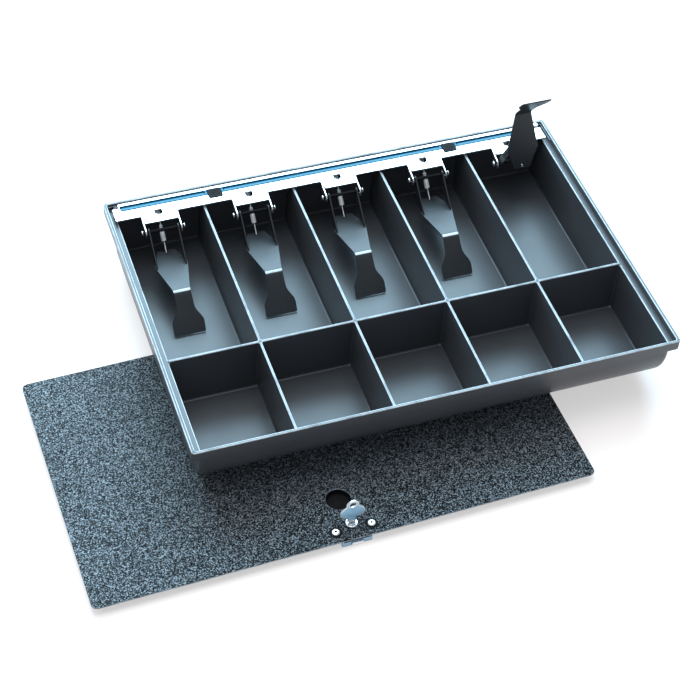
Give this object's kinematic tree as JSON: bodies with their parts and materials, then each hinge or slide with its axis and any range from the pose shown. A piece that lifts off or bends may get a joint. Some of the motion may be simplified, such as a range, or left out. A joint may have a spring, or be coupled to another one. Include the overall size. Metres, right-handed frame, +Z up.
{
  "type": "cash drawer tray",
  "caption": "Black moulded cash drawer tray with scooped coin cups, note slots under sprung steel holders on a plated bar, lying on its flat keyed steel cover.",
  "frame": {"origin": "middle of the footprint at the floor, under the cover", "axes": "+X to the user's right along the tray's long side, +Y to the back where the note holders' bar is, +Z up"},
  "size_m": [0.5084, 0.36, 0.1464],
  "materials": {
    "tray_moulding": "glossy black moulded plastic",
    "clip_plastic": "satin black plastic",
    "bar_plating": "bright zinc plate on rolled steel",
    "fastener_steel": "bright plated steel",
    "pin_steel": "black oxide on turned steel",
    "arm_enamel": "semi-gloss black enamel",
    "spring_wire": "bright drawn wire",
    "cover_paint": "fine pebbled black paint",
    "zinc_steel": "zinc-plated pressed steel",
    "lock_plating": "polished plating",
    "key_steel": "stamped plated steel"
  },
  "bodies": {
    "tray": {"tray": "tray_moulding", "hold_down_bar": "bar_plating", "bar_clip_left": "clip_plastic", "bar_clip_right": "clip_plastic", "bar_screw": "fastener_steel", "pivot_pin_1": "pin_steel", "pivot_pin_2": "pin_steel", "pivot_pin_3": "pin_steel", "pivot_pin_4": "pin_steel", "pivot_pin_5": "pin_steel", "spring_1": "spring_wire", "spring_2": "spring_wire", "spring_3": "spring_wire", "spring_4": "spring_wire", "spring_5": "spring_wire"},
    "holder_1": {"note_holder_1": "arm_enamel"},
    "holder_2": {"note_holder_2": "arm_enamel"},
    "holder_3": {"note_holder_3": "arm_enamel"},
    "holder_4": {"note_holder_4": "arm_enamel"},
    "holder_5": {"note_holder_5": "arm_enamel"},
    "cover": {"cover_plate": "cover_paint", "finger_cup": "clip_plastic", "lock_case": "zinc_steel", "lock_housing": "lock_plating", "lock_washer_left": "clip_plastic", "lock_washer_right": "clip_plastic", "lock_rivet_left": "fastener_steel", "lock_rivet_right": "fastener_steel", "rear_hook_left": "zinc_steel", "rear_hook_right": "zinc_steel", "hook_rivet_1": "fastener_steel", "hook_rivet_2": "fastener_steel", "hook_rivet_3": "fastener_steel", "hook_rivet_4": "fastener_steel"},
    "lock_plug": {"lock_plug": "lock_plating", "lock_cam": "zinc_steel"},
    "key": {"key": "key_steel"},
    "bolt": {"lock_bolt": "zinc_steel"}
  },
  "joints": [
    {"name": "holder_1_pivot", "type": "hinge", "parent": "tray", "child": "holder_1", "pos_m": [-0.10883, 0.14413, 0.05665], "axis": [-1, 0, 0], "range_deg": [0, 100], "deforming": ["spring_1"]},
    {"name": "holder_2_pivot", "type": "hinge", "parent": "tray", "child": "holder_2", "pos_m": [-0.02893, 0.14413, 0.05665], "axis": [-1, 0, 0], "range_deg": [0, 100], "deforming": ["spring_2"]},
    {"name": "holder_3_pivot", "type": "hinge", "parent": "tray", "child": "holder_3", "pos_m": [0.05097, 0.14413, 0.05665], "axis": [-1, 0, 0], "range_deg": [0, 100], "deforming": ["spring_3"]},
    {"name": "holder_4_pivot", "type": "hinge", "parent": "tray", "child": "holder_4", "pos_m": [0.13087, 0.14413, 0.05665], "axis": [-1, 0, 0], "range_deg": [0, 100], "deforming": ["spring_4"]},
    {"name": "holder_5_pivot", "type": "hinge", "parent": "tray", "child": "holder_5", "pos_m": [0.21077, 0.14413, 0.05665], "axis": [-1, 0, 0], "range_deg": [-100, 0], "deforming": ["spring_5"]},
    {"name": "cover_slide", "type": "slide", "parent": "tray", "child": "cover", "axis": [0.0227, -0.9997, 0], "range_m": [0, 0.21]},
    {"name": "lock_turn", "type": "hinge", "parent": "cover", "child": "lock_plug", "pos_m": [-0.04246, -0.16062, 0.0065], "axis": [0, 0, -1], "range_deg": [0, 90]},
    {"name": "key_pull", "type": "slide", "parent": "lock_plug", "child": "key", "axis": [0, 0, 1], "range_m": [0, 0.03]},
    {"name": "bolt_slide", "type": "slide", "parent": "cover", "child": "bolt", "axis": [0.0227, -0.9997, 0], "range_m": [0, 0.0045]}
  ],
  "couplings": [
    {"joint": "lock_turn", "follows": "bolt_slide", "rad_per_m": 349.06}
  ]
}
